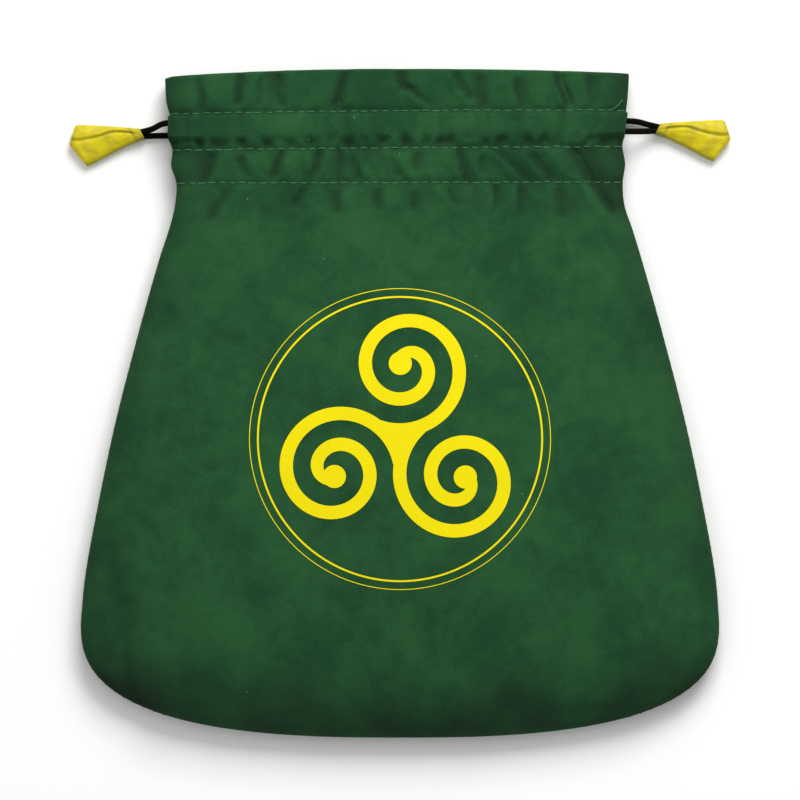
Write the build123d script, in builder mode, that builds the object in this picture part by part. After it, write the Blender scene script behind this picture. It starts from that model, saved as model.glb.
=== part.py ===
"""Drawstring dice bag in velvet, lying on its back, lightly filled with air.

X runs across the bag, Y from the bottom seam to the mouth and Z up, out of the front
panel. The origin is under the middle of the bag, on the surface that it lies on.
All sizes are in millimetres.
"""
from build123d import *
import math
import os

# Bag, laid flat
bag_length = 220.0
mouth_width = 151.0
body_width = 211.4
corner_height = 38.0
flare_power = 1.28
corner_across = 50.0
cloth = 0.9

# Neck: a turned hem behind three rows of stitches, with the cord casing between two rows
neck_height = 14.2
neck_length = 44.0
hem_depth = 36.6
row_from_mouth = (13.8, 26.3, 36.2)
cord_clearance = 0.15
ridge_width = 1.2
ridge_gap = 0.05
groove_over = 1.0

# Belly: how far it stands above the table, and the thickness left at the bottom seam
belly_height = 26.0
belly_from_bottom = 76.0
lower_belly_height = 23.0
bottom_edge_height = 5.0
belly_steps = 10
corner_steps = 7
base_cut = 0.6

# Sewing thread
stitch_length = 2.5
stitch_pitch = 3.4
stitch_width = 0.5
stitch_height = 0.3
stitch_gap = 0.03
seam_thread_radius = 0.25
seam_inset = 0.45
side_thread_gap = 2.0
tail_inset = 5.5
tail_across = 3.4
tail_rise = 3.0

# Printed emblem: two rings round three joined spirals
emblem_from_bottom = 98.4
ink = 0.15
ink_gap = 0.02
outer_ring_radius = 49.4
outer_ring_line = 0.4
inner_ring_radius = 46.6
inner_ring_line = 0.75
spiral_x = 1.5
spiral_y = 23.4
spiral_start_radius = 17.85
spiral_pitch = 10.2
spiral_band = 4.4
spiral_first = -114
spiral_last = 480
spiral_step = 18
spiral_eye_radius = 3.8
spiral_eye_y = 24.75
hub_radius = 2.5

# Drawcords, knots and tabs; a strand's and a tab's place is its distance below the upper row
cord_diameter = 2.0
left_cord_below = (3.6, 7.8)
right_cord_below = (6.7, 3.0)
cord_drift = 0.1
exit_lead = 3.6
wrap_share = 0.49
bend_share = 0.45
tab_gap = 10.0
left_tab_below = 7.4
right_tab_below = 5.6
tab_height = 5.6
tab_wall = 0.7
tab_ease = 0.275
tab_flare = 0.5
tab_far = ((21.3, 3.2), (23.5, -3.4), (17.5, -10.8))
tab_corner = 1.0
throat_clearance = 0.25
throat_lead = 3.0
throat_slope = 6.5
knot_inset = 6.5
knot_length = 4.4
knot_margin = 0.375
knot_height = 3.6
knot_round = 0.3
tack_count = 3
tack_inset = 3.0
tack_pitch = 1.2
tack_radius = 0.25
tack_gap = 0.5

# Sizes that follow from the ones above
mouth_y = bag_length / 2
neck_y = mouth_y - neck_length
bottom_y = -bag_length / 2
widest_y = bottom_y + corner_height
belly_y = bottom_y + belly_from_bottom
emblem_y = bottom_y + emblem_from_bottom
seam_z = neck_height / 2
casing_gap = cord_diameter + 2 * cord_clearance
cord_radius = cord_diameter / 2
rows_y = [mouth_y - depth for depth in row_from_mouth]
hem_inset = cloth + casing_gap
mouth_inset = hem_inset + cloth
flat_half = (mouth_width - neck_height) / 2


def across(y):
    """Sketch plane across the bag at y, with its own Y upwards."""
    return Plane.XZ.offset(-y)


def neck_slot(inset, start, end):
    """Flattened tube along the neck, from start to end in Y, inset from its outer face."""
    with BuildPart() as tube:
        with BuildSketch(across(end)):
            with Locations((0, seam_z)):
                SlotOverall(mouth_width - 2 * inset, neck_height - 2 * inset)
        extrude(amount=end - start)
    return tube.part


def flare(y):
    """Width of the bag between its neck and its widest place."""
    share = (y - widest_y) / (neck_y - widest_y)
    return body_width - (body_width - mouth_width) * share**flare_power


def top_height(y):
    """Height of the front panel above the table, between the neck and the widest place."""
    if y > belly_y:
        share = (neck_y - y) / (neck_y - belly_y)
        return neck_height + (belly_height - neck_height) * math.sin(share * math.pi / 2)
    share = (belly_y - y) / (belly_y - widest_y)
    return belly_height - (belly_height - lower_belly_height) * share**2


def stations(inset):
    """Place, width, underside and top of the body's cross-sections, inset from its outer face."""
    found = []
    for step in range(belly_steps + 1):
        y = neck_y + (widest_y - neck_y) * step / belly_steps
        found.append((y, flare(y) - 2 * inset, inset - base_cut, top_height(y) - inset))
    for step in range(1, corner_steps + 1):
        angle = math.radians(90 * step / corner_steps)
        lift = math.cos(angle)
        y = widest_y - (widest_y - bottom_y - inset) * math.sin(angle)
        width = body_width - 2 * corner_across + 2 * (corner_across - inset) * lift
        edge = bottom_edge_height / 2 - inset
        low = seam_z - edge - (seam_z - edge + base_cut - inset) * lift
        high = seam_z + edge + (lower_belly_height - inset - seam_z - edge) * lift
        found.append((y, width, low, high))
    return found


def pouch(inset, end):
    """Body and neck as one closed form, inset from the outer face, with the neck cut at end."""
    with BuildPart() as form:
        for y, width, low, high in stations(inset):
            with BuildSketch(across(y)):
                with Locations((0, (low + high) / 2)):
                    SlotOverall(width, high - low)
        loft(ruled=True)
        add(neck_slot(inset, neck_y, end))
        split(bisect_by=Plane.XY.offset(inset), keep=Keep.TOP)
    return form.part


outer_form = pouch(0, mouth_y)
inner_form = pouch(cloth, mouth_y - cloth)


def rows_groove(row_y):
    """Shallow groove round the neck that a row of stitches sinks into."""
    with BuildPart() as groove:
        depth = stitch_height + 2 * stitch_gap
        add(neck_slot(-groove_over, row_y - ridge_width / 2, row_y + ridge_width / 2))
        add(neck_slot(depth, row_y - ridge_width / 2, row_y + ridge_width / 2), mode=Mode.SUBTRACT)
    return groove.part


def panels():
    """Whole velvet skin: body, neck and the turned edge at the mouth, with both cord slits."""
    with BuildPart() as skin:
        add(outer_form)
        add(inner_form, mode=Mode.SUBTRACT)
        add(neck_slot(mouth_inset, mouth_y - 2 * cloth, mouth_y + cloth), mode=Mode.SUBTRACT)
        for row_y in rows_y:
            add(rows_groove(row_y), mode=Mode.SUBTRACT)
        slit_length = rows_y[0] - rows_y[1] - ridge_width
        with Locations((0, (rows_y[0] + rows_y[1]) / 2, seam_z)):
            for side in (-1, 1):
                with Locations((side * (flat_half + neck_height / 2), 0, 0)):
                    Box(neck_height, slit_length, neck_height, mode=Mode.SUBTRACT)
    return skin.part


def hems():
    """Turned hem inside the neck, with a ridge that meets the panel under each stitch row."""
    with BuildPart() as ring:
        add(neck_slot(hem_inset, mouth_y - hem_depth, mouth_y - cloth))
        for row_y in rows_y:
            half = ridge_width / 2
            low = max(row_y - half, mouth_y - hem_depth)
            add(neck_slot(cloth + ridge_gap, low, row_y + half))
        add(neck_slot(mouth_inset, mouth_y - hem_depth, mouth_y - cloth), mode=Mode.SUBTRACT)
    return ring.part


skin = panels()
hem = hems()
seam_plane = Plane.XY.offset(seam_z)

# Velvet panels, which meet edge to edge in the seam plane
with BuildPart() as front_panel:
    add(skin)
    split(bisect_by=seam_plane, keep=Keep.TOP)

with BuildPart() as back_panel:
    add(skin)
    split(bisect_by=seam_plane, keep=Keep.BOTTOM)

# Turned hems inside the neck
with BuildPart() as front_hem:
    add(hem)
    split(bisect_by=seam_plane, keep=Keep.TOP)

with BuildPart() as back_hem:
    add(hem)
    split(bisect_by=seam_plane, keep=Keep.BOTTOM)

bag_nodes = {
    "front_panel": front_panel,
    "back_panel": back_panel,
    "front_hem": front_hem,
    "back_hem": back_hem,
}

# Three rows of lockstitch round the neck, front and back
stitch_count = int((2 * flat_half - stitch_length) / stitch_pitch) + 1
top_stitch_z = neck_height - stitch_height / 2 - stitch_gap
under_stitch_z = stitch_height / 2 + stitch_gap
for side, stitch_z in (("front", top_stitch_z), ("back", under_stitch_z)):
    for row_name, row_y in zip(("upper", "middle", "lower"), rows_y):
        with BuildPart() as stitch_row:
            with Locations((0, row_y, stitch_z)):
                with GridLocations(stitch_pitch, 1, stitch_count, 1):
                    Box(stitch_length, stitch_width, stitch_height)
        bag_nodes[f"{side}_{row_name}_stitches"] = stitch_row


def seam_place(y):
    """Inside corner of the seam at y: where a seam thread lies against both panels."""
    known = stations(cloth + seam_inset)
    for (y0, w0, low0, high0), (y1, w1, low1, high1) in zip(known, known[1:]):
        if y1 <= y <= y0:
            share = (y0 - y) / (y0 - y1)
            width = w0 + share * (w1 - w0)
            low = low0 + share * (low1 - low0)
            high = high0 + share * (high1 - high0)
            radius = (high - low) / 2
            rise = seam_z - (low + high) / 2
            return width / 2 - radius + math.sqrt(radius**2 - rise**2)
    return 0.0


def thread_along(points):
    """Seam stitches, one short round thread between each two neighbouring points."""
    with BuildPart() as thread:
        for start, end in zip(points, points[1:]):
            run = Vector(*end) - Vector(*start)
            place = Plane(origin=start, z_dir=run)
            with BuildSketch(place):
                Circle(seam_thread_radius)
            extrude(amount=run.length * stitch_length / stitch_pitch)
    return thread


# Seam threads inside the body: down each side and along the bottom
side_top_y = mouth_y - hem_depth - side_thread_gap
side_bottom_y = widest_y
side_steps = round((side_top_y - side_bottom_y) / stitch_pitch)
side_step = (side_top_y - side_bottom_y) / side_steps
side_line = []
for step in range(side_steps + 1):
    y = side_top_y - step * side_step
    x = seam_place(y) if y < neck_y else mouth_width / 2 - cloth - seam_inset
    side_line.append((x, y, seam_z))
bag_nodes["right_seam_thread"] = thread_along(side_line)
bag_nodes["left_seam_thread"] = thread_along([(-x, y, z) for x, y, z in side_line])

corner_depth = corner_height - cloth - seam_inset
corner_reach = corner_across - cloth - seam_inset
corner_arc = math.pi / 2 * math.hypot(corner_depth, corner_reach) / math.sqrt(2)
corner_stitches = round(corner_arc / stitch_pitch)
bottom_line = []
for step in range(1, corner_stitches + 1):
    y = widest_y - corner_depth * math.sin(math.radians(90 * step / corner_stitches))
    bottom_line.append((seam_place(y), y, seam_z))
flat_x, flat_y = bottom_line[-1][0], bottom_line[-1][1]
flat_steps = round(2 * flat_x / stitch_pitch)
flat_line = [(flat_x - 2 * flat_x * step / flat_steps, flat_y, seam_z) for step in range(1, flat_steps)]
left_corner = [(-x, y, z) for x, y, z in reversed(bottom_line)]
bag_nodes["bottom_seam_thread"] = thread_along(bottom_line + flat_line + left_corner)

# Loose thread end at the right of the upper front row
with BuildPart() as thread_tail:
    tail_x = mouth_width / 2 - tail_inset
    tail_z = neck_height + seam_thread_radius + stitch_gap
    with BuildLine():
        tail_end = (tail_x + tail_across, rows_y[0] + tail_rise, tail_z)
        TangentArc((tail_x, rows_y[0], tail_z), tail_end, tangent=(1, 0, 0))
    with BuildSketch(Plane((tail_x, rows_y[0], tail_z), z_dir=(1, 0, 0))):
        Circle(seam_thread_radius)
    sweep()
bag_nodes["front_thread_tail"] = thread_tail

# Printed emblem: each figure is cut from a film of ink that lies on the front panel
with BuildPart() as ink_film:
    add(Pos(0, 0, ink_gap + ink) * outer_form)
    add(Pos(0, 0, ink_gap) * outer_form, mode=Mode.SUBTRACT)

emblem_plane = Plane((0, emblem_y, seam_z))
emblem_depth = belly_height

for name, radius, line in (
    ("printed_outer_ring", outer_ring_radius, outer_ring_line),
    ("printed_inner_ring", inner_ring_radius, inner_ring_line),
):
    with BuildPart() as ring:
        with BuildSketch(emblem_plane):
            Circle(radius + line / 2)
            Circle(radius - line / 2, mode=Mode.SUBTRACT)
        extrude(amount=emblem_depth)
        add(ink_film.part, mode=Mode.INTERSECT)
    bag_nodes[name] = ring


def spiral_edge(side):
    """Points along one edge of a spiral band; side is +1 outside and -1 inside."""
    points = []
    for degrees in range(spiral_first, spiral_last + 1, spiral_step):
        radius = spiral_start_radius - spiral_pitch * degrees / 360 + side * spiral_band / 2
        angle = math.radians(degrees)
        points.append((spiral_x + radius * math.cos(angle), spiral_y + radius * math.sin(angle)))
    return points


with BuildPart() as printed_triskele:
    with BuildSketch(emblem_plane) as arm:
        with BuildLine():
            outside = Spline(spiral_edge(1))
            inside = Spline(spiral_edge(-1))
            Line(outside @ 0, inside @ 0)
            Line(outside @ 1, inside @ 1)
        make_face()
        with Locations((0, spiral_eye_y)):
            Circle(spiral_eye_radius)
        Circle(hub_radius)
    for turn in range(3):
        add(extrude(arm.sketch.rotate(Axis((0, emblem_y, 0), (0, 0, 1)), 120 * turn),
                    amount=emblem_depth, mode=Mode.PRIVATE))
    add(ink_film.part, mode=Mode.INTERSECT)
bag_nodes["printed_triskele"] = printed_triskele

# Seam threads of the header, which close in with the neck's two edges
header_nodes = {}
header_steps = int((mouth_y - cloth - rows_y[0]) / stitch_pitch)
header_x = mouth_width / 2 - mouth_inset - seam_inset
header_line = [(header_x, rows_y[0] + step * stitch_pitch, seam_z) for step in range(header_steps + 1)]
header_nodes["right_header_seam"] = thread_along(header_line)
header_nodes["left_header_seam"] = thread_along([(-x, y, z) for x, y, z in header_line])

# Drawcords: each runs through the front casing, round the far edge and back
cord_front_z = neck_height - cloth - casing_gap / 2
cord_back_z = cloth + casing_gap / 2
strand_half = cord_radius + throat_clearance / 2
throat_width = 2 * (strand_half + cord_radius + throat_clearance)
wrap_x = flat_half + cord_front_z - seam_z
exit_x = flat_half + exit_lead
cord_low_z = tab_height / 2
left_cord_y = [rows_y[0] - below for below in left_cord_below]
right_cord_y = [rows_y[0] - below for below in right_cord_below]
tab_near_x = mouth_width / 2 + tab_gap
tab_near_half = strand_half + cord_radius + tab_ease + tab_wall
knot_half = strand_half + cord_radius + knot_margin
tab_outline = (
    (0, tab_near_half),
    (knot_inset, tab_near_half + tab_flare),
    *tab_far,
    (0, -tab_near_half),
)


def cord_route(side, front_y, back_y, tab_y):
    """Corners of a drawcord's route, from its knot out and back; side is +1 for the right."""
    upper_y = tab_y + strand_half
    lower_y = tab_y - strand_half
    front_end, back_end = (upper_y, lower_y) if front_y > back_y else (lower_y, upper_y)
    turn_y = math.copysign(cord_drift, back_y - front_y)
    knot_face = tab_near_x + knot_inset
    return [
        (side * knot_face, front_end, cord_low_z),
        (side * (tab_near_x - throat_lead), front_end, cord_low_z),
        (side * (tab_near_x - throat_slope), (front_end + front_y) / 2, (cord_low_z + cord_front_z) / 2),
        (side * exit_x, front_y, cord_front_z),
        (-side * wrap_x, front_y + turn_y, cord_front_z),
        (-side * wrap_x, back_y - turn_y, cord_back_z),
        (side * exit_x, back_y, cord_back_z),
        (side * (tab_near_x - throat_lead), back_end, cord_low_z),
        (side * knot_face, back_end, cord_low_z),
    ]


def bend_radii(route):
    """Arc at each corner: as large as its runs allow, and the hem's own size at the far edge."""
    radii = []
    for before, corner, after in zip(route, route[1:], route[2:]):
        run_in = Vector(*corner) - Vector(*before)
        run_out = Vector(*after) - Vector(*corner)
        half_turn = math.radians(run_in.get_angle(run_out) / 2)
        at_wrap = 0 in (round(run_in.X, 3), round(run_out.X, 3))
        share = wrap_share if at_wrap else bend_share
        radii.append(share * min(run_in.length, run_out.length) / math.tan(half_turn))
    return radii


pull_nodes = {}
for name, side, cord_y, tab_y in (
    ("left", -1, left_cord_y, rows_y[0] - left_tab_below),
    ("right", 1, right_cord_y, rows_y[0] - right_tab_below),
):
    route = cord_route(side, cord_y[0], cord_y[1], tab_y)
    radii = bend_radii(route)
    with BuildPart() as drawcord:
        with BuildLine() as line:
            FilletPolyline(*route, radius=radii)
        with BuildSketch(Plane(origin=route[0], z_dir=(-side, 0, 0))):
            Circle(cord_radius)
        sweep()
    length = line.wire().length
    section = math.pi * cord_radius**2
    print(f"{name}_drawcord length {length:.1f}, radii", [round(radius, 1) for radius in radii])
    print(f"  volume {drawcord.part.volume:.1f}, section by length {section * length:.1f}")
    pull_nodes[f"{name}_drawcord"] = drawcord

    # Knot that holds both ends of the cord inside the tab
    knot_at = side * (tab_near_x + knot_inset + knot_length / 2)
    with BuildPart() as knot:
        with Locations((knot_at, tab_y, cord_low_z)):
            Box(knot_length, 2 * knot_half, knot_height)
        fillet(knot.edges(), knot_round)
    pull_nodes[f"{name}_knot"] = knot

    # Folded satin tab: two leaves round the knot, with a throat for the two strands
    outline = [(side * (tab_near_x + out), tab_y + up) for out, up in tab_outline]
    with BuildPart() as tab:
        with BuildSketch() as leaf:
            Polygon(*outline, align=None)
            fillet(leaf.vertices(), tab_corner)
        extrude(amount=tab_height)
        with BuildSketch(Plane.XY.offset(tab_wall)) as hollow:
            Polygon(*outline, align=None)
            offset(amount=-tab_wall, kind=Kind.INTERSECTION)
        extrude(amount=tab_height - 2 * tab_wall, mode=Mode.SUBTRACT)
        with Locations((side * tab_near_x, tab_y, cord_low_z)):
            Box(4 * tab_wall, throat_width, cord_diameter + 2 * throat_clearance, mode=Mode.SUBTRACT)
    pull_nodes[f"{name}_tab"] = tab

    # Bar tack that holds the two leaves together beside the strands
    with BuildPart() as tack:
        for step in range(tack_count):
            tack_x = side * (tab_near_x + tack_inset + step * tack_pitch)
            with Locations((tack_x, tab_y - throat_width / 2 - tack_gap, cord_low_z)):
                Cylinder(tack_radius, tab_height - 2 * tab_wall)
    pull_nodes[f"{name}_tab_tack"] = tack

os.makedirs("parts", exist_ok=True)
for nodes in (bag_nodes, header_nodes, pull_nodes):
    for name, piece in nodes.items():
        piece.part.label = name
        export_step(piece.part, f"parts/{name}.step")
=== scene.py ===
"""Velvet drawstring dice bag with a printed spiral emblem, lying on its back.

X runs across the bag, Y from the bottom seam to the mouth, Z up. Classes hold their sizes in
millimetres, and every mesh and curve is written in metres.
"""
from __future__ import annotations

import logging
import math
import random
from dataclasses import dataclass
from enum import Enum
from typing import Iterable, Sequence

import bpy
import numpy as np
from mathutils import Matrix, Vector, geometry, noise
from mathutils.bvhtree import BVHTree


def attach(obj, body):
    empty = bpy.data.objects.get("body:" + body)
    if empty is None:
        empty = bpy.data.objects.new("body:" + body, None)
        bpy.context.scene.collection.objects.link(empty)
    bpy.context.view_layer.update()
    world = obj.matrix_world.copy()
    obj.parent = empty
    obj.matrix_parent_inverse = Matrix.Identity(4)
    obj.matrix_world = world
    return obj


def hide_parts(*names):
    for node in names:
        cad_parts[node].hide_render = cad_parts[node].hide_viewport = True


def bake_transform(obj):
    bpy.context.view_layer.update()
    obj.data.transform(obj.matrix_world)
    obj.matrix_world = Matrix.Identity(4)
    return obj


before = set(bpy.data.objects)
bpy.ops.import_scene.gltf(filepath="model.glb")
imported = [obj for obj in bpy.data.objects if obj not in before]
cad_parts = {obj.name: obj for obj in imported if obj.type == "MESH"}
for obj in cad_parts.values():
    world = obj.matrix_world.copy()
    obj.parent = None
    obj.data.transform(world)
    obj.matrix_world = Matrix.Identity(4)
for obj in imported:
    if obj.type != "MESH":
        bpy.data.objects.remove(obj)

MM = 0.001
NECK_HALF = 76.0
WAVE_TURN = 6.28
THREAD_SIDES = 7
BUILD_LOG = logging.getLogger("dice_bag")
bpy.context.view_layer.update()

Point = tuple[float, float, float]
Faces = list[tuple[int, ...]]
Skin = tuple[list[Point], Faces]


class Cloth(Enum):
    """The two velvet panels."""

    FRONT = "front"
    BACK = "back"

    @property
    def sign(self) -> int:
        """Outward direction along Z."""
        return 1 if self is Cloth.FRONT else -1

    @property
    def wrinkle_seed(self) -> float:
        """Where the panel's wrinkles are taken from the noise."""
        return 3.1 if self is Cloth.FRONT else 47.7

    @property
    def shade_seed(self) -> float:
        """Where the panel's painted shade is taken from the noise."""
        return 81.0 if self is Cloth.FRONT else 93.0


class Side(Enum):
    """The two halves of the bag, as its printed front is seen."""

    LEFT = "left"
    RIGHT = "right"

    @property
    def sign(self) -> int:
        """Direction along X."""
        return 1 if self is Side.RIGHT else -1


# ---------------------------------------------------------------- small tools


def linear(colour: str) -> tuple[float, float, float, float]:
    """Turn an sRGB hex colour to linear.

    Args:
        colour: six hex digits, such as "2a6039".

    Returns:
        Linear red, green, blue and an alpha of 1.
    """
    found = []
    for start in (0, 2, 4):
        value = int(colour[start:start + 2], 16) / 255
        found.append(value / 12.92 if value <= 0.04045 else ((value + 0.055) / 1.055) ** 2.4)
    return found[0], found[1], found[2], 1.0


def smooth(value: float) -> float:
    """Smoothstep of a share that is first held between 0 and 1."""
    held = min(1.0, max(0.0, value))
    return held * held * (3 - 2 * held)


def hill(distance: float, width: float) -> float:
    """Bell curve of height 1, which falls to a third at width."""
    return math.exp(-((distance / width) ** 2))


def grain(x: float, y: float, seed: float) -> float:
    """Smooth noise from -1 to 1 at a place in a plane."""
    return noise.noise(Vector((x, y, seed)))


def through(points: Sequence[tuple[float, float]], at: float) -> float:
    """Read a smooth curve that passes through points given in rising order.

    Args:
        points: (place, value) pairs in rising order of place.
        at: where to read the curve.

    Returns:
        The value there, by cubic pieces whose slopes follow the neighbours.
    """
    places = [place for place, _ in points]
    if at <= places[0]:
        return points[0][1]
    if at >= places[-1]:
        return points[-1][1]
    index = next(i for i in range(len(places) - 1) if places[i] <= at <= places[i + 1])

    def slope(i: int) -> float:
        """Slope of the curve at a point, from the points beside it."""
        low, high = max(i - 1, 0), min(i + 1, len(points) - 1)
        return (points[high][1] - points[low][1]) / (points[high][0] - points[low][0])

    (x0, y0), (x1, y1) = points[index], points[index + 1]
    span = x1 - x0
    share = (at - x0) / span
    s2, s3 = share**2, share**3
    return (
        (2 * s3 - 3 * s2 + 1) * y0
        + (s3 - 2 * s2 + share) * span * slope(index)
        + (3 * s2 - 2 * s3) * y1
        + (s3 - s2) * span * slope(index + 1)
    )


def mesh_piece(
    name: str,
    points: Iterable[Point],
    faces: Faces,
    material: bpy.types.Material,
    flat: Sequence[tuple[float, float]] | None = None,
    normals: Sequence[Point] | None = None,
    shade: Sequence[float] | None = None,
) -> bpy.types.Object:
    """Make a smooth-shaded mesh object.

    Args:
        name: the piece's name.
        points: its vertices, in millimetres.
        faces: vertex numbers of each face.
        material: its finish.
        flat: place of each vertex on the flat cloth, in millimetres, for the weave.
        normals: a normal for each vertex, where pieces meet without an edge.
        shade: painted shade at each vertex, from 0 to 1.

    Returns:
        The object, linked to the scene.
    """
    mesh = bpy.data.meshes.new(name)
    mesh.from_pydata([(x * MM, y * MM, z * MM) for x, y, z in points], [], faces)
    mesh.update()
    mesh.polygons.foreach_set("use_smooth", [True] * len(mesh.polygons))
    if flat is not None:
        layer = mesh.uv_layers.new(name="cloth")
        for loop in mesh.loops:
            u, v = flat[loop.vertex_index]
            layer.data[loop.index].uv = (u * MM, v * MM)
    if normals is not None:
        mesh.normals_split_custom_set_from_vertices(normals)
    if shade is not None:
        mesh.attributes.new("shade", "FLOAT", "POINT").data.foreach_set("value", shade)
    mesh.materials.append(material)
    piece = bpy.data.objects.new(name, mesh)
    bpy.context.scene.collection.objects.link(piece)
    return piece


def grid_faces(rows: int, columns: int, flip: bool = False) -> Faces:
    """Quads of a grid whose points are listed row by row."""
    faces: Faces = []
    for row in range(rows - 1):
        for column in range(columns - 1):
            a = row * columns + column
            quad = (a, a + 1, a + columns + 1, a + columns)
            faces.append(quad[::-1] if flip else quad)
    return faces


def grid_normals(grid: np.ndarray, outward: int) -> np.ndarray:
    """Normals of a grid of points, smooth over its whole area.

    Args:
        grid: points as rows x columns x 3.
        outward: +1 or -1, to turn all of them over.

    Returns:
        Unit normals in the same layout.
    """
    normal = np.cross(np.gradient(grid, axis=1), np.gradient(grid, axis=0)) * outward
    return normal / np.maximum(np.linalg.norm(normal, axis=2, keepdims=True), 1e-9)


def tube(path: Sequence[Vector], radius: float, sides: int = 8) -> Skin:
    """Skin a round thread along a path, with its two ends drawn in.

    Args:
        path: points along the middle, in millimetres.
        radius: half the thread's thickness.
        sides: corners of its section.

    Returns:
        Points and faces of the closed tube.
    """
    points: list[Point] = []
    faces: Faces = []
    last = len(path) - 1
    side_axis = Vector((0, 0, 1))
    for index, centre in enumerate(path):
        along = (path[min(index + 1, last)] - path[max(index - 1, 0)]).normalized()
        across = along.cross(side_axis)
        if across.length < 0.05:
            across = along.cross(Vector((0, 1, 0)))
        across.normalize()
        up = across.cross(along).normalized()
        scale = radius * (0.55 if index in (0, last) else 1.0)
        for corner in range(sides):
            turn = 2 * math.pi * corner / sides
            place = centre + across * math.cos(turn) * scale + up * math.sin(turn) * scale
            points.append(tuple(place))
    for index in range(last):
        for corner in range(sides):
            a = index * sides + corner
            b = index * sides + (corner + 1) % sides
            faces.append((a, b, b + sides, a + sides))
    faces.append(tuple(reversed(range(sides))))
    faces.append(tuple(range(last * sides, (last + 1) * sides)))
    return points, faces


def joined(skins: Iterable[Skin]) -> Skin:
    """Join several skins in one."""
    points: list[Point] = []
    faces: Faces = []
    for more, rings in skins:
        first = len(points)
        points += more
        faces += [tuple(first + i for i in face) for face in rings]
    return points, faces


def circle(x: float, y: float, radius: float, count: int) -> list[Vector]:
    """Points round a circle in the plane, from its right-hand side."""
    turns = [2 * math.pi * step / count for step in range(count)]
    return [Vector((x + radius * math.cos(turn), y + radius * math.sin(turn))) for turn in turns]


def stand_in(piece: bpy.types.Object, node: str, body: str | None = None) -> bpy.types.Object:
    """State what a piece stands for.

    Args:
        piece: the modelled piece.
        node: the CAD node that it replaces.
        body: the body that it rides on, or None to leave it unattached.

    Returns:
        The same piece.
    """
    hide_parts(node)
    if body is not None:
        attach(piece, body)
    BUILD_LOG.info("%s stands for %s", piece.name, node)
    return piece


# ---------------------------------------------------------------- finishes


def add_node(
    material: bpy.types.Material,
    kind: str,
    settings: dict[str, object] | None = None,
    values: dict[str | int, object] | None = None,
    links: dict[str | int, bpy.types.NodeSocket] | None = None,
) -> bpy.types.Node:
    """Add one shader node with its settings, socket values and incoming links."""
    tree = material.node_tree
    node = tree.nodes.new(kind)
    for name, value in (settings or {}).items():
        setattr(node, name, value)
    for name, value in (values or {}).items():
        node.inputs[name].default_value = value
    for name, source in (links or {}).items():
        tree.links.new(source, node.inputs[name])
    return node


def start_material(name: str, mapping: str) -> tuple[bpy.types.Material, bpy.types.NodeSocket]:
    """New node material and the places that its patterns are laid on, "UV" or "Object"."""
    material = bpy.data.materials.new(name)
    material.use_nodes = True
    return material, add_node(material, "ShaderNodeTexCoord").outputs[mapping]


def clouds(
    material: bpy.types.Material, place: bpy.types.NodeSocket, size: float, values: dict[str, float],
) -> bpy.types.NodeSocket:
    """Soft random patches of a size in millimetres."""
    scale = {"Scale": 1 / (size * MM)}
    node = add_node(material, "ShaderNodeTexNoise", None, scale | values, {"Vector": place})
    return node.outputs["Fac"]


def ribs(
    material: bpy.types.Material,
    place: bpy.types.NodeSocket,
    width: float,
    direction: str,
    values: dict[str, float] | None = None,
) -> bpy.types.NodeSocket:
    """Parallel ribs of a width in millimetres, with a groove as wide between them."""
    scale = {"Scale": 1 / (width * MM) / WAVE_TURN}
    settings = {"bands_direction": direction}
    node = add_node(material, "ShaderNodeTexWave", settings, scale | (values or {}), {"Vector": place})
    return node.outputs["Fac"]


def reckon(
    material: bpy.types.Material, operation: str, *terms: float | bpy.types.NodeSocket,
) -> bpy.types.NodeSocket:
    """One sum of numbers and sockets, in the order that the operation takes them."""
    numbers = {i: term for i, term in enumerate(terms) if isinstance(term, float)}
    sockets = {i: term for i, term in enumerate(terms) if not isinstance(term, float)}
    return add_node(material, "ShaderNodeMath", {"operation": operation}, numbers, sockets).outputs[0]


def ramp(
    material: bpy.types.Material,
    share: bpy.types.NodeSocket,
    low: tuple[float, str],
    high: tuple[float, str],
) -> bpy.types.NodeSocket:
    """Colour that runs from the low stop to the high one as a share rises."""
    node = add_node(material, "ShaderNodeValToRGB", links={"Fac": share})
    for element, (place, colour) in zip(node.color_ramp.elements, (low, high)):
        element.position = place
        element.color = linear(colour)
    return node.outputs["Color"]


def toward(
    material: bpy.types.Material, share: bpy.types.NodeSocket, start: bpy.types.NodeSocket, colour: str,
) -> bpy.types.NodeSocket:
    """Turn a colour towards a fixed one by a share."""
    links = {"Factor": share, "A": start}
    node = add_node(material, "ShaderNodeMix", {"data_type": "RGBA"}, {"B": linear(colour)}, links)
    return node.outputs["Result"]


def painted_shade(material: bpy.types.Material) -> bpy.types.NodeSocket:
    """Painted shade that the mesh carries at each of its points."""
    return add_node(material, "ShaderNodeAttribute", {"attribute_name": "shade"}).outputs["Fac"]


def surface(
    material: bpy.types.Material,
    colour: str | bpy.types.NodeSocket,
    relief: tuple[bpy.types.NodeSocket, float, float],
    values: dict[str, object],
) -> bpy.types.Material:
    """Finish a material's surface shader.

    Args:
        material: the material.
        colour: one sRGB hex colour, or the socket that gives it.
        relief: the height pattern, its strength and its depth in millimetres.
        values: what is constant over the surface, by socket.

    Returns:
        The material.
    """
    tree = material.node_tree
    shader = tree.nodes["Principled BSDF"]
    pattern, strength, depth = relief
    bump = {"Strength": strength, "Distance": depth * MM}
    node = add_node(material, "ShaderNodeBump", values=bump, links={"Height": pattern})
    tree.links.new(node.outputs["Normal"], shader.inputs["Normal"])
    if isinstance(colour, str):
        shader.inputs["Base Color"].default_value = linear(colour)
    else:
        tree.links.new(colour, shader.inputs["Base Color"])
    for name, value in values.items():
        shader.inputs[name].default_value = value
    return material


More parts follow.
